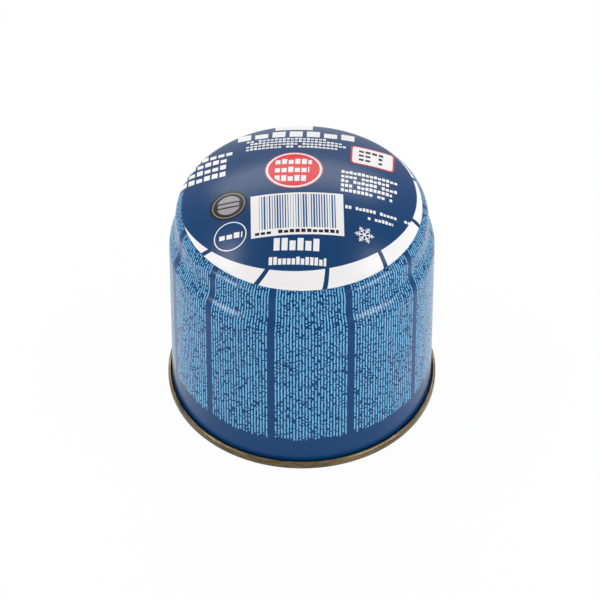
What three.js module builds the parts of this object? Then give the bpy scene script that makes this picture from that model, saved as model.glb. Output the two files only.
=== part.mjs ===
// Pierceable gas cartridge, millimetres, +Z up, standing on the flat land of its seam at z = 0.
// A drawn tinplate shell with a domed top, a short neck and a flared shoulder is closed at the
// bottom by a recessed end. The two are rolled together in a double seam, and the can is sealed,
// so its gas and its walls are one solid here.
import * as THREE from 'three';

// Double seam: the rolled ring that the can stands on
const seamRadius = 46;
const seamThickness = 2.1;
const seamHeight = 3.2;
const seamEdgeRadius = 0.7; // roll of its lower edges
const creviceWidth = 0.3; // gap between the seam's rolled top and the wall
const creviceDepth = 1.2;

// Drawn shell
const wallRadius = 44.5;
const wallHeight = 54.6; // from the seam's top to the start of the shoulder
const shoulderRise = 12;
const neckRadius = 42.2;
const neckHeight = 4;
const domeEdgeRadius = 6; // roll between the neck and the dome
const domeRadius = 82;

// Recessed end, seen from below
const chuckWallDepth = 4.8; // straight wall inside the seam, up to its roll
const chuckRollRadius = 1.4;
const countersinkWidth = 3.2; // flat ring inside the roll
const panelRollRadius = 2.4; // roll between that ring and the panel
const panelRadius = 92; // inward dome of the panel

// Facets
const sidesRound = 96;
const chordError = 0.04; // most that a chord of a round stretch lies inside its arc

// Points along an arc of the outline, about (radius centre, height centre). Angles are in
// degrees from the outward direction, and rise towards +Z.
function arc(centreRadius, centreHeight, arcRadius, fromAngle, toAngle) {
  const from = THREE.MathUtils.degToRad(fromAngle);
  const to = THREE.MathUtils.degToRad(toAngle);
  const stepLimit = 2 * Math.acos(1 - chordError / arcRadius);
  const steps = Math.max(2, Math.ceil(Math.abs(to - from) / stepLimit));
  const points = [];
  for (let i = 0; i <= steps; i++) {
    const angle = from + ((to - from) * i) / steps;
    const radius = centreRadius + arcRadius * Math.cos(angle);
    const height = centreHeight + arcRadius * Math.sin(angle);
    points.push(new THREE.Vector2(radius, height));
  }
  return points;
}

// Underside, from the axis outwards: the panel domed into the can, the roll at its edge, the flat
// countersink ring, and the roll at the top of the chuck wall.
function recessedEnd() {
  const chuckRadius = seamRadius - seamThickness;
  const ringHeight = chuckWallDepth + chuckRollRadius;
  const ringOuter = chuckRadius - chuckRollRadius;
  const ringInner = ringOuter - countersinkWidth;
  const rollCentre = ringHeight + panelRollRadius;
  const centreDistance = panelRadius + panelRollRadius;
  const panelDrop = Math.sqrt(centreDistance ** 2 - ringInner ** 2);
  const slope = THREE.MathUtils.radToDeg(Math.asin(ringInner / centreDistance));
  return [
    ...arc(0, rollCentre - panelDrop, panelRadius, 90, 90 - slope),
    ...arc(ringInner, rollCentre, panelRollRadius, -90 - slope, -90),
    ...arc(ringOuter, chuckWallDepth, chuckRollRadius, 90, 0),
  ];
}

// The seam's section, from the chuck wall outwards: lower edges rolled either side of the flat
// land, a straight outer face, and a round top that leaves a narrow crevice against the wall.
function doubleSeam() {
  const innerEdge = seamRadius - seamThickness + seamEdgeRadius;
  const outerEdge = seamRadius - seamEdgeRadius;
  const creviceRadius = wallRadius + creviceWidth;
  const creviceFloor = seamHeight - creviceDepth;
  const topRadius = (seamRadius - creviceRadius) / 2;
  return [
    ...arc(innerEdge, seamEdgeRadius, seamEdgeRadius, 180, 270),
    ...arc(outerEdge, seamEdgeRadius, seamEdgeRadius, 270, 360),
    ...arc(seamRadius - topRadius, seamHeight - topRadius, topRadius, 0, 180),
    new THREE.Vector2(creviceRadius, creviceFloor),
    new THREE.Vector2(wallRadius, creviceFloor),
  ];
}

// Outside of the shell: the shoulder is two equal arcs that turn in and back, from the wall to
// the neck, and the dome meets the roll above the neck without a corner.
function drawnShell() {
  const shoulderBottom = seamHeight + wallHeight;
  const shoulderTop = shoulderBottom + shoulderRise;
  const neckTop = shoulderTop + neckHeight;
  const stepIn = wallRadius - neckRadius;
  const turnRadius = (shoulderRise ** 2 + stepIn ** 2) / (4 * stepIn);
  const turn = THREE.MathUtils.radToDeg(Math.asin(shoulderRise / (2 * turnRadius)));
  const rollRadius = neckRadius - domeEdgeRadius;
  const domeDrop = Math.sqrt((domeRadius - domeEdgeRadius) ** 2 - rollRadius ** 2);
  const domeMeets = THREE.MathUtils.radToDeg(Math.atan2(domeDrop, rollRadius));
  return [
    ...arc(wallRadius - turnRadius, shoulderBottom, turnRadius, 0, turn),
    ...arc(neckRadius + turnRadius, shoulderTop, turnRadius, 180 + turn, 180),
    ...arc(rollRadius, neckTop, domeEdgeRadius, 0, domeMeets),
    ...arc(0, neckTop - domeDrop, domeRadius, domeMeets, 90),
  ];
}

// Joins the stretches, and drops a point that repeats the one before it.
function joinOutline(...stretches) {
  const outline = [];
  for (const point of stretches.flat()) {
    const last = outline[outline.length - 1];
    if (last && last.distanceTo(point) < 1e-6) {
      continue;
    }
    outline.push(point);
  }
  outline[0].x = 0;
  outline[outline.length - 1].x = 0;
  return outline;
}

function gasCartridge() {
  const outline = joinOutline(recessedEnd(), doubleSeam(), drawnShell());
  const geometry = new THREE.LatheGeometry(outline, sidesRound);
  geometry.rotateX(Math.PI / 2);
  const tinplate = new THREE.MeshStandardMaterial({
    color: 0x0b4a80,
    roughness: 0.28,
    metalness: 0.35,
  });
  const mesh = new THREE.Mesh(geometry, tinplate);
  mesh.name = 'gas_cartridge';
  return mesh;
}

const group = new THREE.Group();
group.add(gasCartridge());

export default group;
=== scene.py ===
import math

import bpy
import numpy as np
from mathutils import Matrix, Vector


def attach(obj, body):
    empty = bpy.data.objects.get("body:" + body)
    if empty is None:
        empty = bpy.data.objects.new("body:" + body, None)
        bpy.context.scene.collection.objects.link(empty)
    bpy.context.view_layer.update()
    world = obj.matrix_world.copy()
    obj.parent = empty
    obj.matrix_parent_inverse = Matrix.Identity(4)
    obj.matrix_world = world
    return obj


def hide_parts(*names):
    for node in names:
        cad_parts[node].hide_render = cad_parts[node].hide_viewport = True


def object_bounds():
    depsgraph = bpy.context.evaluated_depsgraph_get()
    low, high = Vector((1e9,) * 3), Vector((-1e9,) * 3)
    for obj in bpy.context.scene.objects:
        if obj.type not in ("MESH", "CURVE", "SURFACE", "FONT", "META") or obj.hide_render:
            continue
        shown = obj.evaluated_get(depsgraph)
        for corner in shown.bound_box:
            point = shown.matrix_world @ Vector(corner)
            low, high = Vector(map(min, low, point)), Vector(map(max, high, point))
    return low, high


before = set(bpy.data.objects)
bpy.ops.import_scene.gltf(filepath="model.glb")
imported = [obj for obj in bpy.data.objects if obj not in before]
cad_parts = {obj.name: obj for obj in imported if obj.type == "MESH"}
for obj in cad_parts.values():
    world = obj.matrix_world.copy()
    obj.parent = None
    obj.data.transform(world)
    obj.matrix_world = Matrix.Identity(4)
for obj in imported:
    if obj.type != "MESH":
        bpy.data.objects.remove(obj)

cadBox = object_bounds()
mm = 0.001

print("frame loaded")


# Outlines: (radius, height) points in millimetres, from arcs and straight stretches

# An arc about (centreR, centreZ): centre + size * (cos, sin) of an angle that runs evenly from
# one bearing to the other, in degrees from the outward direction.
def arc(centreR, centreZ, size, fromAngle, toAngle, steps):
    angles = np.radians(np.linspace(fromAngle, toAngle, steps + 1))
    return np.stack([centreR + size * np.cos(angles), centreZ + size * np.sin(angles)], axis=1)


# A straight stretch: start plus an even share of the way to the end.
def straight(start, end, steps):
    share = np.linspace(0, 1, steps + 1)[:, None]
    return np.array(start) + share * (np.array(end) - np.array(start))


# The stretches one after the other, without the points that repeat where they meet.
def joined(*stretches):
    points = np.concatenate(stretches)
    apart = np.hypot(*np.diff(points, axis=0).T) > 1e-5
    return points[np.concatenate([[True], apart])]


# How far along the outline each of its points lies.
def wayAlong(outline):
    return np.concatenate([[0], np.cumsum(np.hypot(*np.diff(outline, axis=0).T))])


# Revolved surface: each outline point goes round the axis, (r sin a, -r cos a, z), with the
# angle a from the front. Where the outline ends on the axis, a fan of triangles round one vertex
# closes the pole. The map printMap holds millimetres: u = a * mapRadius, v = mapStart + the way
# along the outline.
def revolve(name, outline, mapRadius, mapStart=0.0, sides=320):
    along = mapStart + wayAlong(outline)
    onAxis = outline[:, 0] < 1e-6
    ringAlong = along[~onAxis]
    radius, height = outline[~onAxis].T[:, :, None]
    angles = np.linspace(-math.pi, math.pi, sides, endpoint=False)
    x = radius * np.sin(angles)
    y = -radius * np.cos(angles)
    verts = np.stack([x, y, np.broadcast_to(height, x.shape)], axis=-1).reshape(-1, 3)

    row = np.arange(len(radius) - 1)[:, None] * sides
    spin = np.arange(sides)
    nextSpin = (spin + 1) % sides
    quads = np.stack([row + spin, row + nextSpin, row + sides + nextSpin, row + sides + spin], axis=-1)
    quadTurn = np.broadcast_to(np.stack([spin, spin + 1, spin + 1, spin], axis=-1), quads.shape)
    lower, upper = ringAlong[:-1, None], ringAlong[1:, None]
    quadAlong = np.broadcast_to(np.stack([lower, lower, upper, upper], axis=-1), quads.shape)
    faces = quads.reshape(-1, 4).tolist()
    turns, ways = [quadTurn.ravel()], [quadAlong.ravel()]

    for tip, firstVert, order in ((-1, (len(radius) - 1) * sides, 1), (0, 0, -1)):
        if onAxis[tip]:
            edge = np.stack([spin, spin + 1], axis=-1)[:, ::order]
            faces += np.column_stack([firstVert + edge % sides, np.full(sides, len(verts))]).tolist()
            verts = np.concatenate([verts, [[0, 0, outline[tip, 1]]]])
            turns.append(np.column_stack([edge, spin + 0.5]).ravel())
            ways.append(np.tile([ringAlong[tip], ringAlong[tip], along[tip]], sides))

    mesh = bpy.data.meshes.new(name)
    mesh.from_pydata((verts * mm).tolist(), [], faces)
    mesh.polygons.foreach_set("use_smooth", np.ones(len(faces), dtype=bool))
    uvMap = mesh.uv_layers.new(name="printMap")
    angle = np.concatenate(turns) / sides * 2 * math.pi - math.pi
    uvMap.data.foreach_set("uv", np.stack([angle * mapRadius, np.concatenate(ways)], axis=-1).ravel())
    mesh.validate()
    piece = bpy.data.objects.new(name, mesh)
    bpy.context.scene.collection.objects.link(piece)
    return piece


# Shell: wall, shoulder, neck, edge roll and dome

shell = {
    "wallRadius": 44.5,
    "wallFoot": 2.0,  # bottom of the crevice above the seam
    "wallTop": 61.4,
    "shoulderRise": 8.6,
    "neckRadius": 42.2,
    "neckHeight": 3.8,
    "domeEdgeRadius": 6.0,
    "domeRadius": 82.0,
}
shoulderTop = shell["wallTop"] + shell["shoulderRise"]
neckTop = shoulderTop + shell["neckHeight"]
printSplit = shoulderTop + shell["neckHeight"] / 2  # on the straight neck, where the two pieces meet


# Straight wall, then two equal arcs that turn in and back to the neck, then half the neck.
def wallOutline():
    wall, neck, rise = shell["wallRadius"], shell["neckRadius"], shell["shoulderRise"]
    stepIn = wall - neck
    turnRadius = (rise ** 2 + stepIn ** 2) / (4 * stepIn)
    turn = math.degrees(math.asin(rise / (2 * turnRadius)))
    return joined(
        straight((wall, shell["wallFoot"]), (wall, shell["wallTop"]), 24),
        arc(wall - turnRadius, shell["wallTop"], turnRadius, 0, turn, 14),
        arc(neck + turnRadius, shoulderTop, turnRadius, 180 + turn, 180, 14),
        straight((neck, shoulderTop), (neck, printSplit), 2),
    )


# The rest of the neck, the edge roll, and the dome that leaves it without a corner.
def domeOutline():
    neck, edge, dome = shell["neckRadius"], shell["domeEdgeRadius"], shell["domeRadius"]
    rollRadius = neck - edge
    drop = math.sqrt((dome - edge) ** 2 - rollRadius ** 2)
    meets = math.degrees(math.atan2(drop, rollRadius))
    return joined(
        straight((neck, printSplit), (neck, neckTop), 2),
        arc(rollRadius, neckTop, edge, 0, meets, 20),
        arc(0, neckTop - drop, dome, meets, 90, 40),
    )


# Bottom end: seam and recess

end = {
    "seamRadius": 46.0,
    "seamThickness": 2.1,
    "seamHeight": 3.2,
    "seamEdgeRadius": 0.7,
    "creviceWidth": 0.3,
    "tuck": 0.05,  # how far the crevice's floor reaches in under the wall
    "chuckWallDepth": 4.8,
    "chuckRollRadius": 1.4,
    "countersinkWidth": 3.2,
    "panelRollRadius": 2.4,
    "panelRadius": 92.0,
}
chuckRadius = end["seamRadius"] - end["seamThickness"]


# From the middle of the recess outwards and round the seam, down into the crevice.
def endOutline():
    ringHeight = end["chuckWallDepth"] + end["chuckRollRadius"]
    ringOuter = chuckRadius - end["chuckRollRadius"]
    ringInner = ringOuter - end["countersinkWidth"]
    roll, panel = end["panelRollRadius"], end["panelRadius"]
    slope = math.degrees(math.asin(ringInner / (panel + roll)))
    panelCentre = ringHeight + roll - math.sqrt((panel + roll) ** 2 - ringInner ** 2)
    seam, edge, foot = end["seamRadius"], end["seamEdgeRadius"], shell["wallFoot"]
    crevice = shell["wallRadius"] + end["creviceWidth"]
    top = (seam - crevice) / 2
    topCentre = end["seamHeight"] - top
    return joined(
        arc(0, panelCentre, panel, 90, 90 - slope, 24),
        arc(ringInner, ringHeight + roll, roll, -90 - slope, -90, 6),
        arc(ringOuter, end["chuckWallDepth"], end["chuckRollRadius"], 90, 0, 8),
        straight((chuckRadius, end["chuckWallDepth"]), (chuckRadius, edge), 3),
        arc(chuckRadius + edge, edge, edge, 180, 270, 8),
        arc(seam - edge, edge, edge, 270, 360, 8),
        straight((seam, edge), (seam, topCentre), 4),
        arc(seam - top, topCentre, top, 0, 180, 14),
        straight((crevice, topCentre), (crevice, foot), 3),
        straight((crevice, foot), (shell["wallRadius"] - end["tuck"], foot), 1),
    )


wallPiece = revolve("printed_wall", wallOutline(), shell["wallRadius"])
domePiece = revolve("printed_dome", domeOutline(), shell["wallRadius"], wayAlong(wallOutline())[-1])
endPiece = revolve("bottom_end", endOutline(), shell["wallRadius"])

print("surfaces made")


# Node maths written as formulas: a Field is a socket that can be added, scaled and compared
class Field:
    def __init__(self, tree, socket):
        self.tree = tree
        self.socket = socket

    def calc(self, operation, *others, clamp=False):
        node = self.tree.nodes.new("ShaderNodeMath")
        node.operation = operation
        node.use_clamp = clamp
        for value, socket in zip((self, *others), node.inputs):
            plug(self.tree, value, socket)
        return Field(self.tree, node.outputs[0])

    def __add__(self, other):
        return self.calc("ADD", other)

    def __sub__(self, other):
        return self.calc("SUBTRACT", other)

    def __mul__(self, other):
        return self.calc("MULTIPLY", other)

    def __truediv__(self, other):
        return self.calc("DIVIDE", other)

    def __abs__(self):
        return self.calc("ABSOLUTE")


def plug(tree, value, socket):
    if isinstance(value, Field):
        tree.links.new(value.socket, socket)
    else:
        socket.default_value = value


# Masks: 1 inside a shape, where its distance is below zero, with an edge as wide as soft.
def inside(distance, soft=0.06):
    return distance.calc("MULTIPLY_ADD", -1 / soft, 0.5, clamp=True)


def both(a, b):
    return a.calc("MULTIPLY", b)


def either(a, b):
    return a.calc("MAXIMUM", b)


def without(mask):
    return mask * -1.0 + 1.0


# Distance to the nearest edge of an upright box: the larger of the two sides' overshoots.
def boxDistance(x, y, centre, size):
    overX = abs(x - centre[0]) - size[0] / 2
    overY = abs(y - centre[1]) - size[1] / 2
    return overX.calc("MAXIMUM", overY)


# Distance to a box with round corners: overshoots past a smaller box, as a length, less the corner.
def roundBoxDistance(x, y, centre, size, corner):
    overX = (abs(x - centre[0]) - (size[0] / 2 - corner)).calc("MAXIMUM", 0.0)
    overY = (abs(y - centre[1]) - (size[1] / 2 - corner)).calc("MAXIMUM", 0.0)
    return (overX * overX + overY * overY).calc("SQRT") - corner


def centreDistance(x, y, centre=(0.0, 0.0)):
    overX = x - centre[0]
    overY = y - centre[1]
    return (overX * overX + overY * overY).calc("SQRT")


# The same place in a frame that is turned by some degrees.
def turned(x, y, degrees):
    angle = math.radians(degrees)
    return x * math.cos(angle) - y * math.sin(angle), x * math.sin(angle) + y * math.cos(angle)


def noise(tree, where, scale, detail=2.0, roughness=0.5):
    node = tree.nodes.new("ShaderNodeTexNoise")
    plug(tree, where, node.inputs["Vector"])
    node.inputs["Scale"].default_value = scale
    node.inputs["Detail"].default_value = detail
    node.inputs["Roughness"].default_value = roughness
    return Field(tree, node.outputs["Fac"])


def randomOf(tree, value):
    node = tree.nodes.new("ShaderNodeTexWhiteNoise")
    node.noise_dimensions = "1D"
    plug(tree, value, node.inputs["W"])
    return Field(tree, node.outputs["Value"])


def rescale(field, fromLow, fromHigh, toLow=0.0, toHigh=1.0):
    node = field.tree.nodes.new("ShaderNodeMapRange")
    plug(field.tree, field, node.inputs["Value"])
    ends = {"From Min": fromLow, "From Max": fromHigh, "To Min": toLow, "To Max": toHigh}
    for name, value in ends.items():
        node.inputs[name].default_value = value
    return Field(field.tree, node.outputs["Result"])


def combine(tree, x, y, z):
    node = tree.nodes.new("ShaderNodeCombineXYZ")
    for value, socket in zip((x, y, z), node.inputs):
        plug(tree, value, socket)
    return Field(tree, node.outputs[0])


def split(tree, vector):
    node = tree.nodes.new("ShaderNodeSeparateXYZ")
    plug(tree, vector, node.inputs[0])
    return [Field(tree, socket) for socket in node.outputs]


# A coat of ink: the new colour over the old where the mask is 1.
def ink(tree, under, mask, over):
    node = tree.nodes.new("ShaderNodeMix")
    node.data_type = "RGBA"
    plug(tree, mask, node.inputs["Factor"])
    plug(tree, under, node.inputs[6])
    plug(tree, over, node.inputs[7])
    return Field(tree, node.outputs[2])


# A colour written as 0 to 255, in the linear values that nodes use.
def colour(red, green, blue):
    parts = np.array([red, green, blue]) / 255
    linear = np.where(parts <= 0.04045, parts / 12.92, ((parts + 0.055) / 1.055) ** 2.4)
    return (*linear.tolist(), 1.0)


# A node group, its inputs as Fields, and the node that takes its results.
def newGroup(name, inputs, outputs):
    tree = bpy.data.node_groups.new(name, "ShaderNodeTree")
    for label, kind in inputs:
        tree.interface.new_socket(name=label, in_out="INPUT", socket_type=kind)
    for label, kind in outputs:
        tree.interface.new_socket(name=label, in_out="OUTPUT", socket_type=kind)
    given = tree.nodes.new("NodeGroupInput")
    result = tree.nodes.new("NodeGroupOutput")
    fields = {label: Field(tree, given.outputs[label]) for label, kind in inputs}
    return tree, fields, result


def floats(*labels):
    return [(label, "NodeSocketFloat") for label in labels]


def placeGroup(tree, group, **values):
    node = tree.nodes.new("ShaderNodeGroup")
    node.node_tree = group
    for label, value in values.items():
        plug(tree, value, node.inputs[label])
    return node


def newMaterial(name):
    material = bpy.data.materials.new(name)
    material.use_nodes = True
    tree = material.node_tree
    return material, tree, tree.nodes["Principled BSDF"]


def objectPlace(tree):
    return Field(tree, tree.nodes.new("ShaderNodeTexCoord").outputs["Object"])


def bumpInto(tree, shader, height, strength, distance):
    bump = tree.nodes.new("ShaderNodeBump")
    bump.inputs["Strength"].default_value = strength
    bump.inputs["Distance"].default_value = distance
    plug(tree, height, bump.inputs["Height"])
    tree.links.new(bump.outputs["Normal"], shader.inputs["Normal"])


inks = {
    "deepBlue": colour(0, 55, 102),
    "paleBlue": colour(110, 178, 218),
    "white": colour(234, 232, 233),
    "codeBlue": colour(14, 84, 134),
    "red": colour(218, 20, 32),
    "pink": colour(232, 118, 124),
    "dark": colour(28, 26, 30),
    "grey": colour(150, 148, 150),
}


# Lacquer over the print. Noise scales are for a place in metres.
gloss = {
    "roughness": 0.24,
    "unevenness": 0.05,
    "patchScale": 45.0,
    "peelScale": 900.0,
    "scratchScale": 260.0,
    "scratchRoughness": 0.06,
    "bump": 0.05,
    "bumpDistance": 0.0001,
    "specular": 0.18,  # low, so that pale surroundings don't wash out the dark blue
}


# Faint orange peel, dull patches and fine scratches, as a roughness and a height.
def makeLacquer():
    inputs = [("where", "NodeSocketVector"), *floats("roughness", "unevenness")]
    tree, given, result = newGroup("lacquer", inputs, floats("roughness", "height"))
    patches = noise(tree, given["where"], gloss["patchScale"], 3.0)
    peel = noise(tree, given["where"], gloss["peelScale"])
    scratches = noise(tree, given["where"], gloss["scratchScale"], 4.0, 0.7)
    marks = rescale(scratches, 0.62, 0.72, 0.0, gloss["scratchRoughness"])
    rough = given["roughness"] + (patches - 0.5) * given["unevenness"] + marks
    plug(tree, rough, result.inputs["roughness"])
    plug(tree, peel * 0.4 + patches, result.inputs["height"])
    return tree


lacquer = makeLacquer()


def finishLacquered(tree, shader, printed):
    plug(tree, printed, shader.inputs["Base Color"])
    values = {"roughness": gloss["roughness"], "unevenness": gloss["unevenness"]}
    node = placeGroup(tree, lacquer, where=objectPlace(tree), **values)
    tree.links.new(node.outputs["roughness"], shader.inputs["Roughness"])
    bumpInto(tree, shader, Field(tree, node.outputs["height"]), gloss["bump"], gloss["bumpDistance"])
    shader.inputs["Specular IOR Level"].default_value = gloss["specular"]


# Wall print, in millimetres on the shell's own map: u round the can from the front, v up the shell
wallPrint = {
    "lineStep": 1.04,  # from one printed line to the next, round the can
    "lineWidth": 0.47,
    "narrowest": 0.72,  # narrowest stroke, as a share of the line's width
    "widening": 0.4,  # how much wider the widest is
    "strokeStep": 0.52,
    "strokeShare": 0.94,  # of that step, the rest being the gap between strokes
    "gapInk": 0.45,  # how much ink the gap still shows
    "spaceShare": 0.19,  # share of the strokes that are bare
    "strokeShift": 0.1,  # most that a stroke stands out to one side of its line
    "soft": 0.12,  # blur of a stroke's edge
    "bottom": 10.4,  # above the wall's foot
    "bottomSoft": 0.2,
    "ragged": 1.4,
    "barWidth": 2.5,
    "barSoft": 0.1,
    "bars": (-160, -131, -102, -73, -44, -13.5, 21.5, 57.5, 91, 126, 160),  # degrees from the front
}


# Lines of small strokes that run up the can. A cell is one stroke of one line, and a random
# colour for the cell makes it bare, moves it to one side and sets its width.
def makeWallText():
    tree, given, result = newGroup("wallText", floats("u", "v"), floats("mask"))
    u, v = given["u"], given["v"]
    lineStep, strokeStep, soft = wallPrint["lineStep"], wallPrint["strokeStep"], wallPrint["soft"]
    line = (u / lineStep).calc("FLOOR")
    lineRandom = randomOf(tree, line)
    along = v / strokeStep + lineRandom * 37.0  # so that neighbouring lines don't align
    stroke = along.calc("FLOOR")
    cell = tree.nodes.new("ShaderNodeTexWhiteNoise")
    cell.noise_dimensions = "2D"
    plug(tree, combine(tree, line, stroke, 0.0), cell.inputs["Vector"])
    redness, greenness, blueness = split(tree, Field(tree, cell.outputs["Color"]))
    written = redness.calc("GREATER_THAN", wallPrint["spaceShare"])
    offset = (greenness - 0.5) * (2 * wallPrint["strokeShift"])
    across = abs((u / lineStep - line - 0.5) * lineStep - offset)
    halfWidth = (blueness * wallPrint["widening"] + wallPrint["narrowest"]) * (wallPrint["lineWidth"] / 2)
    inLine = inside(across - halfWidth, soft)
    fromMiddle = abs(along - stroke - 0.5) * strokeStep
    inStroke = inside(fromMiddle - strokeStep * wallPrint["strokeShare"] / 2, soft)
    solidity = inStroke * (1 - wallPrint["gapInk"]) + wallPrint["gapInk"]
    bottom = lineRandom * wallPrint["ragged"] + wallPrint["bottom"]
    aboveBottom = inside(bottom - v, wallPrint["bottomSoft"])
    mask = both(both(inLine, written), aboveBottom) * solidity
    for angle in wallPrint["bars"]:
        fromBar = abs(u - math.radians(angle) * shell["wallRadius"])
        mask = both(mask, inside(fromBar * -1.0 + wallPrint["barWidth"] / 2, wallPrint["barSoft"]))
    plug(tree, mask, result.inputs["mask"])
    return tree


wallText = makeWallText()


def wallTextMask(tree):
    uvNode = tree.nodes.new("ShaderNodeUVMap")
    uvNode.uv_map = "printMap"
    u, v, _ = split(tree, Field(tree, uvNode.outputs["UV"]))
    return Field(tree, placeGroup(tree, wallText, u=u, v=v).outputs["mask"])


def wallMaterial():
    material, tree, shader = newMaterial("printedWall")
    finishLacquered(tree, shader, ink(tree, inks["deepBlue"], wallTextMask(tree), inks["paleBlue"]))
    return material


# Dome print, in millimetres seen from above, with x to the right and y away from the front.
# Everything is printed a little out of square and out of centre, as on the real can. A words row
# is: left, top, width, rows, line step, block height, block step, share of bare blocks, and the
# share of its width that the shortest line loses.
domePrint = {
    "turn": 2.0,
    "discCentre": (-1.5, 3.4),
    "discSize": (39.8, 37.5),
    "bandBottom": 78.4,  # height of the white band's lower edge
    "bandSoft": 0.08,
    "gapCount": 11,
    "gapPhase": 10.6,  # angle of one gap from the front
    "gapSlant": 1.1,  # degrees for each millimetre of height
    "gapWidth": 1.8,
    "gapSoft": 0.1,
    "topPanel": {"centre": (-3.9, 38.8), "size": (12.6, 7.6)},
    "ring": {"centre": (-22.9, -20.0), "radius": 5.2, "line": 0.36},
    "words": [
        (-22.6, 33.4, 40.6, 1, 6.0, 4.8, 5.8, 0.0, 0.0),
        (-19.5, 27.6, 33.5, 4, 1.95, 1.3, 1.35, 0.12, 0.3),
        (-39.6, 22.4, 16.0, 1, 4.9, 2.6, 2.7, 0.0, 0.0),
        (-40.8, 18.4, 15.6, 3, 4.1, 2.6, 2.6, 0.0, 0.0),
        (12.9, 8.6, 20.0, 5, 2.3, 1.5, 1.35, 0.1, 0.3),
        (14.6, -8.1, 21.5, 1, 2.4, 1.35, 1.15, 0.15, 0.0),
        (21.0, -11.1, 9.5, 1, 2.4, 1.35, 1.15, 0.15, 0.0),
        (-8.4, -22.8, 15.6, 1, 6.0, 4.4, 2.6, 0.18, 0.0),
        (-9.8, -29.4, 18.8, 1, 4.0, 2.6, 1.5, 0.12, 0.0),
        (-26.5, -19.0, 7.6, 1, 3.0, 2.1, 2.4, 0.0, 0.0),
    ],
    "blockShare": 0.76,  # how much of its step a block fills
    "lowShare": 0.5,  # share of the blocks that are lower than the rest
    "lowering": 0.22,
}


rowNames = ("left", "top", "width", "rows", "lineStep", "blockHeight", "blockStep", "bareShare", "lineLoss")


# Rows of small blocks. The place in the row picks a block, a random number for that block leaves
# it bare or sets its height, and the rows repeat downwards. The odd factors only keep the random
# numbers of rows and blocks apart.
def makeWordBlock():
    tree, given, result = newGroup("wordBlock", floats("x", "y", *rowNames, "seed"), floats("mask"))
    fromLeft = given["x"] - given["left"]
    fromTop = given["top"] - given["y"]
    row = (fromTop / given["lineStep"]).calc("FLOOR")
    inRow = fromTop - row * given["lineStep"]
    rowRandom = randomOf(tree, row * 7.31 + given["seed"])
    block = (fromLeft / given["blockStep"]).calc("FLOOR")
    inBlock = fromLeft / given["blockStep"] - block
    blockRandom = randomOf(tree, block * 1.37 + row * 53.7 + given["seed"])
    notBare = blockRandom.calc("GREATER_THAN", given["bareShare"])
    blockOn = both(inBlock.calc("LESS_THAN", domePrint["blockShare"]), notBare)
    isLow = (blockRandom * 13.0).calc("FRACT").calc("LESS_THAN", domePrint["lowShare"])
    top = given["blockHeight"] * (isLow * domePrint["lowering"])
    heightOn = both(inRow.calc("GREATER_THAN", top), inRow.calc("LESS_THAN", given["blockHeight"]))
    rowsOn = both(row.calc("GREATER_THAN", -0.5), (row - given["rows"]).calc("LESS_THAN", -0.5))
    lineEnd = given["width"] * (rowRandom * given["lineLoss"] * -1.0 + 1.0)
    across = both(fromLeft.calc("GREATER_THAN", 0.0), fromLeft.calc("LESS_THAN", lineEnd))
    plug(tree, both(both(blockOn, heightOn), both(rowsOn, across)), result.inputs["mask"])
    return tree


wordBlock = makeWordBlock()


def words(tree, x, y, row, seed):
    node = placeGroup(tree, wordBlock, x=x, y=y, seed=seed, **dict(zip(rowNames, row)))
    return Field(tree, node.outputs["mask"])


# The blue field: an ellipse, so its distance is a share of its half-widths and its edge is too.
def discMask(px, py):
    (discX, discY), (discWide, discDeep) = domePrint["discCentre"], domePrint["discSize"]
    return inside(centreDistance((px - discX) / discWide, (py - discY) / discDeep) - 1.0, 0.003)


# Slanted gaps in the white band: the bearing, shifted with the height, repeats every gap step.
# Seven more steps keep it above zero, and half a step puts the gap in the middle of its step.
def gapMask(px, py, pz):
    gapStep = 360 / domePrint["gapCount"]
    bearing = px.calc("ARCTAN2", py * -1.0) * (180 / math.pi)
    slanted = bearing - domePrint["gapPhase"] - (pz - domePrint["bandBottom"]) * domePrint["gapSlant"]
    fromGap = abs((slanted + 7.5 * gapStep).calc("FLOORED_MODULO", gapStep) - gapStep / 2)
    halfGap = math.degrees(domePrint["gapWidth"] / 2 / shell["neckRadius"])
    return inside(fromGap - halfGap, domePrint["gapSoft"])


flake = {
    "centre": (21.2, -18.7),
    "radius": 3.2,
    "line": 0.34,
    "twigs": ((0.42, 0.3), (0.68, 0.24)),  # start and length, as shares of the arm
}


# Snowflake: the plane is folded six times round its centre, so one arm along x with two pairs of
# side twigs at 60 degrees draws all six.
def flakeMask(x, y):
    overX = x - flake["centre"][0]
    overY = y - flake["centre"][1]
    reach = centreDistance(overX, overY)
    folded = abs(overY.calc("ARCTAN2", overX).calc("PINGPONG", math.pi / 6))
    alongArm = reach * folded.calc("COSINE")
    offArm = reach * folded.calc("SINE")
    halfLine = flake["line"] / 2
    lean = math.radians(60)
    mask = both(inside(offArm - halfLine), inside(alongArm - flake["radius"]))
    for start, length in flake["twigs"]:
        halfTwig = flake["radius"] * length / 2
        fromStart = alongArm - flake["radius"] * start
        twigAlong = fromStart * math.cos(lean) + offArm * math.sin(lean)
        twigOff = abs(fromStart * math.sin(lean) - offArm * math.cos(lean))
        twig = both(inside(twigOff - halfLine), inside(abs(twigAlong - halfTwig) - halfTwig))
        mask = either(mask, twig)
    return mask


# Everything in plain white on the blue field, except for the code panel.
def whiteMask(tree, x, y):
    mask = inside(boxDistance(x, y, domePrint["topPanel"]["centre"], domePrint["topPanel"]["size"]))
    for number, row in enumerate(domePrint["words"]):
        mask = either(mask, words(tree, x, y, row, 11.7 + 3.1 * number))
    ring = domePrint["ring"]
    ringDistance = abs(centreDistance(x, y, ring["centre"]) - ring["radius"])
    return either(either(mask, inside(ringDistance - ring["line"] / 2)), flakeMask(x, y))


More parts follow.
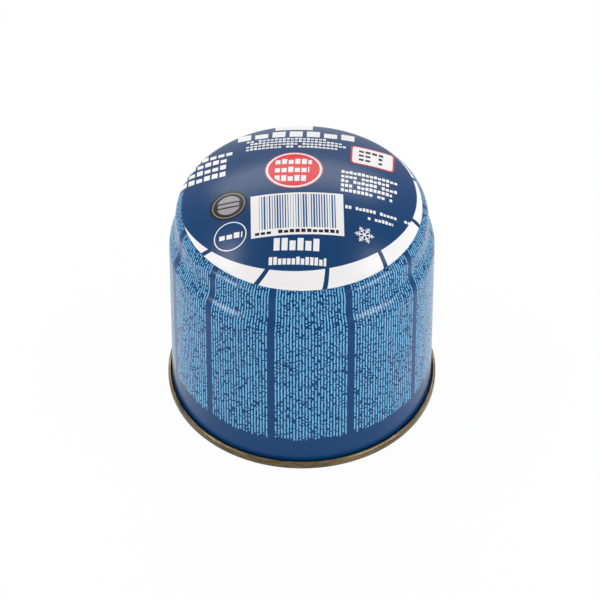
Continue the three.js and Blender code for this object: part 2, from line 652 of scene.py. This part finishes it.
code = {
    "centre": (-1.1, -12.9),
    "size": (30.6, 17.2),
    "turn": -3.0,
    "barsCentre": (0.0, 1.0),
    "barsSize": (26.0, 13.8),
    "barStep": 0.86,
    "barThinnest": 0.14,  # share of its step that a bar fills, at least
    "barSpread": 0.62,  # and how much more it may fill
    "digits": (-14.0, -6.5, 27.5, 1, 2.0, 1.3, 1.9, 0.1, 0.0),
}


# Code panel: upright bars of random width on white, over a row of dark blocks.
def inkCode(tree, printed, x, y, disc):
    panelX, panelY = turned(x - code["centre"][0], y - code["centre"][1], code["turn"])
    panel = inside(boxDistance(panelX, panelY, (0.0, 0.0), code["size"]))
    printed = ink(tree, printed, both(panel, disc), inks["white"])
    barPlace = panelX / code["barStep"]
    barNumber = barPlace.calc("FLOOR")
    barShare = randomOf(tree, barNumber) * code["barSpread"] + code["barThinnest"]
    fromBar = abs(barPlace - barNumber - 0.5) * code["barStep"]
    barOn = inside(fromBar - barShare * (code["barStep"] / 2))
    bars = both(barOn, inside(boxDistance(panelX, panelY, code["barsCentre"], code["barsSize"])))
    printed = ink(tree, printed, bars, inks["codeBlue"])
    return ink(tree, printed, words(tree, panelX, panelY, code["digits"], 5.0), inks["dark"])


tile = {
    "centre": (23.0, 19.5),
    "size": (14.6, 11.8),
    "corner": 1.6,
    "border": 0.55,
    "words": (18.4, 23.0, 9.4, 3, 2.7, 1.6, 2.2, 0.1, 0.2),
}


def inkTile(tree, printed, x, y, disc):
    distance = roundBoxDistance(x, y, tile["centre"], tile["size"], tile["corner"])
    printed = ink(tree, printed, both(inside(distance), disc), inks["red"])
    printed = ink(tree, printed, both(inside(distance + tile["border"]), disc), inks["white"])
    return ink(tree, printed, words(tree, x, y, tile["words"], 8.0), inks["dark"])


# Shares are of the seal's radius.
seal = {
    "centre": (-24.0, -7.3),
    "radius": 6.4,
    "ringShare": 0.82,
    "ringLine": 0.28,
    "coreShare": 0.62,
    "barShare": 0.76,
    "barSize": (9.6, 2.6),
    "lineSize": (7.04, 1.3),
}


def inkSeal(tree, printed, x, y):
    distance = centreDistance(x, y, seal["centre"])
    ring = inside(abs(distance - seal["radius"] * seal["ringShare"]) - seal["ringLine"] / 2)
    bar = inside(boxDistance(x, y, seal["centre"], seal["barSize"]))
    bar = both(bar, inside(distance - seal["radius"] * seal["barShare"]))
    printed = ink(tree, printed, inside(distance - seal["radius"]), inks["dark"])
    printed = ink(tree, printed, ring, inks["grey"])
    printed = ink(tree, printed, inside(distance - seal["radius"] * seal["coreShare"]), inks["grey"])
    printed = ink(tree, printed, bar, inks["dark"])
    return ink(tree, printed, inside(boxDistance(x, y, seal["centre"], seal["lineSize"])), inks["grey"])


roundel = {
    "centre": (-2.9, 7.4),
    "radius": 9.6,
    "rimLine": 0.35,
    "rimWidth": 1.0,
    "wordsMargin": 1.9,  # bare ring that the words keep clear of
    "words": (-9.2, 13.1, 13.0, 3, 4.5, 2.9, 2.2, 0.0, 0.2),
}


def inkRoundel(tree, printed, x, y):
    distance = centreDistance(x, y, roundel["centre"]) - roundel["radius"]
    printed = ink(tree, printed, inside(distance), inks["pink"])
    printed = ink(tree, printed, inside(distance + roundel["rimLine"]), inks["white"])
    printed = ink(tree, printed, inside(distance + roundel["rimWidth"]), inks["red"])
    text = both(words(tree, x, y, roundel["words"], 21.0), inside(distance + roundel["wordsMargin"]))
    return ink(tree, printed, text, inks["white"])


def domeMaterial():
    material, tree, shader = newMaterial("printedDome")
    px, py, pz = [axis * (1 / mm) for axis in split(tree, objectPlace(tree))]
    x, y = turned(px, py, domePrint["turn"])
    disc = discMask(px, py)
    aboveBand = inside(pz * -1.0 + domePrint["bandBottom"], domePrint["bandSoft"])
    text = both(wallTextMask(tree), without(aboveBand))
    band = both(both(aboveBand, without(disc)), without(gapMask(px, py, pz)))
    printed = ink(tree, inks["deepBlue"], text, inks["paleBlue"])
    printed = ink(tree, printed, band, inks["white"])
    printed = ink(tree, printed, both(whiteMask(tree, x, y), disc), inks["white"])
    printed = inkCode(tree, printed, x, y, disc)
    printed = inkTile(tree, printed, x, y, disc)
    printed = inkSeal(tree, printed, x, y)
    printed = inkRoundel(tree, printed, x, y)
    finishLacquered(tree, shader, printed)
    return material


# Bare tinplate: gold lacquer on metal. The worn seam has streaks that run round it, dull patches
# and dark specks; the recessed panel keeps the fine straight grain of the rolled sheet.
tinplate = {
    "pale": colour(122, 106, 80),
    "dull": colour(66, 54, 38),
    "panel": colour(184, 166, 132),
    "panelGrain": colour(158, 140, 108),
    "speck": colour(38, 30, 24),
    "seamFade": 0.5,  # millimetres in from the chuck wall, where the seam's wear ends
    "streakScale": 220.0,
    "streakSquash": 7.0,  # how much finer the streaks are upwards than round the seam
    "patchScale": 60.0,
    "speckScale": 520.0,
    "speckStrength": 0.85,
    "grainScale": 110.0,
    "grainStretch": 18.0,
    "roughness": 0.34,
    "metallic": 0.9,
    "bump": 0.2,
    "bumpDistance": 0.0002,
}


def tinplateMaterial():
    material, tree, shader = newMaterial("bareTinplate")
    where = objectPlace(tree)
    px, py, pz = split(tree, where)
    bearing = px.calc("ARCTAN2", py)
    seamX = bearing.calc("SINE") * (end["seamRadius"] * mm)
    seamY = bearing.calc("COSINE") * (end["seamRadius"] * mm)
    roundSeam = combine(tree, seamX, seamY, pz * tinplate["streakSquash"])
    alongGrain = combine(tree, px, py * tinplate["grainStretch"], pz * tinplate["grainStretch"])
    streaks = noise(tree, roundSeam, tinplate["streakScale"], 4.0, 0.6)
    patches = noise(tree, where, tinplate["patchScale"], 4.0, 0.6)
    specks = noise(tree, where, tinplate["speckScale"], 3.0, 0.65)
    grain = noise(tree, alongGrain, tinplate["grainScale"], 3.0, 0.6)
    fadeStart = (chuckRadius - tinplate["seamFade"]) * mm
    seam = rescale(centreDistance(px, py), fadeStart, chuckRadius * mm)

    shade = rescale(streaks * 0.5 + patches * 0.5, 0.36, 0.62)
    speckMask = rescale(specks, 0.64, 0.7, 0.0, tinplate["speckStrength"])
    seamTone = ink(tree, tinplate["dull"], shade, tinplate["pale"])
    seamTone = ink(tree, seamTone, speckMask, tinplate["speck"])
    panelTone = ink(tree, tinplate["panelGrain"], rescale(grain, 0.35, 0.6), tinplate["panel"])
    rough = shade * seam * -0.12 + patches * 0.1 + tinplate["roughness"]
    height = (streaks + patches * 0.6) * seam + grain * 0.25
    plug(tree, ink(tree, panelTone, seam, seamTone), shader.inputs["Base Color"])
    plug(tree, rough, shader.inputs["Roughness"])
    bumpInto(tree, shader, height, tinplate["bump"], tinplate["bumpDistance"])
    shader.inputs["Metallic"].default_value = tinplate["metallic"]
    return material


domePiece.data.materials.append(domeMaterial())
wallPiece.data.materials.append(wallMaterial())
endPiece.data.materials.append(tinplateMaterial())

slots = ((domePiece, "printed_tinplate"), (wallPiece, "printed_tinplate"), (endPiece, "bare_tinplate"))
for piece, slotName in slots:
    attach(piece, "root")
    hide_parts("gas_cartridge")

print("materials made")


# Studio: floor, world, lamps and camera

studio = {
    "floorSize": 6.0,
    "floorColour": (0.86, 0.86, 0.86, 1.0),
    "floorLift": 0.96,  # share of plain white that the camera sees on the floor
    "worldFill": 0.31,
    "lamps": [
        # name, width, height, distance, azimuth from the front to the right, elevation, watts
        ("behind", 0.9, 0.34, 0.9, 182, 38, 4.6),
        ("upperLeft", 0.26, 0.12, 0.9, -104, 57, 1.4),
        ("upperRight", 0.22, 0.12, 0.9, 96, 58, 1.2),
        ("lowLeft", 0.34, 0.15, 0.8, -60, 8, 3.8),
        ("lowRight", 0.44, 0.14, 0.8, 58, 8, 4.4),
    ],
}


# 1 for rays that show the surroundings: straight from the camera, mirrored or through glass.
def seenMask(tree):
    rays = tree.nodes.new("ShaderNodeLightPath").outputs
    camera, glossy, transmission = [
        Field(tree, rays[f"Is {kind} Ray"]) for kind in ("Camera", "Glossy", "Transmission")
    ]
    return either(either(camera, glossy), transmission)


def makeFloor():
    half = studio["floorSize"] / 2
    corners = [(-half, -half, 0), (half, -half, 0), (half, half, 0), (-half, half, 0)]
    mesh = bpy.data.meshes.new("floor")
    mesh.from_pydata(corners, [], [(0, 1, 2, 3)])
    floor = bpy.data.objects.new("floor", mesh)
    bpy.context.scene.collection.objects.link(floor)
    material = bpy.data.materials.new("paleFloor")
    material.use_nodes = True
    tree = material.node_tree
    tree.nodes.clear()
    output = tree.nodes.new("ShaderNodeOutputMaterial")
    diffuse = tree.nodes.new("ShaderNodeBsdfDiffuse")
    diffuse.inputs["Color"].default_value = studio["floorColour"]
    glow = tree.nodes.new("ShaderNodeEmission")
    glow.inputs["Color"].default_value = (1, 1, 1, 1)
    blend = tree.nodes.new("ShaderNodeMixShader")
    plug(tree, seenMask(tree) * studio["floorLift"], blend.inputs["Fac"])
    tree.links.new(diffuse.outputs[0], blend.inputs[1])
    tree.links.new(glow.outputs[0], blend.inputs[2])
    tree.links.new(blend.outputs[0], output.inputs["Surface"])
    mesh.materials.append(material)


def makeWorld():
    world = bpy.data.worlds.new("studioWorld")
    bpy.context.scene.world = world
    world.use_nodes = True
    tree = world.node_tree
    background = tree.nodes["Background"]
    background.inputs["Color"].default_value = (1, 1, 1, 1)
    strength = seenMask(tree) * (1 - studio["worldFill"]) + studio["worldFill"]
    plug(tree, strength, background.inputs["Strength"])


# Each lamp hangs on a sphere round the middle of the can, and faces it.
def makeLamps():
    target = Vector((0, 0, (cadBox[0][2] + cadBox[1][2]) / 2))
    for name, width, height, distance, azimuth, elevation, watts in studio["lamps"]:
        light = bpy.data.lights.new(name, "AREA")
        light.shape = "RECTANGLE"
        light.size = width
        light.size_y = height
        light.energy = watts
        lamp = bpy.data.objects.new(name, light)
        bpy.context.scene.collection.objects.link(lamp)
        a, e = math.radians(azimuth), math.radians(elevation)
        way = Vector((math.sin(a) * math.cos(e), -math.cos(a) * math.cos(e), math.sin(e)))
        lamp.location = target + way * distance
        lamp.rotation_euler = way.to_track_quat("Z", "Y").to_euler()


# Camera, in millimetres and degrees. The photo is 600 pixels square, and focal is the lens in
# those pixels.
view = {"back": 1068.2, "height": 1080.3, "tilt": 44.38, "side": 0.64, "focal": 4403.5, "frame": 600}


def makeCamera():
    data = bpy.data.cameras.new("camera")
    data.lens = view["focal"] * data.sensor_width / view["frame"]
    data.clip_end = 20
    camera = bpy.data.objects.new("camera", data)
    bpy.context.scene.collection.objects.link(camera)
    camera.location = (-view["side"] * mm, -view["back"] * mm, view["height"] * mm)
    camera.rotation_euler = (math.radians(90 - view["tilt"]), 0, 0)
    bpy.context.scene.camera = camera


makeFloor()
makeWorld()
makeLamps()
makeCamera()
bpy.context.scene.view_settings.view_transform = "Standard"

print("studio made")
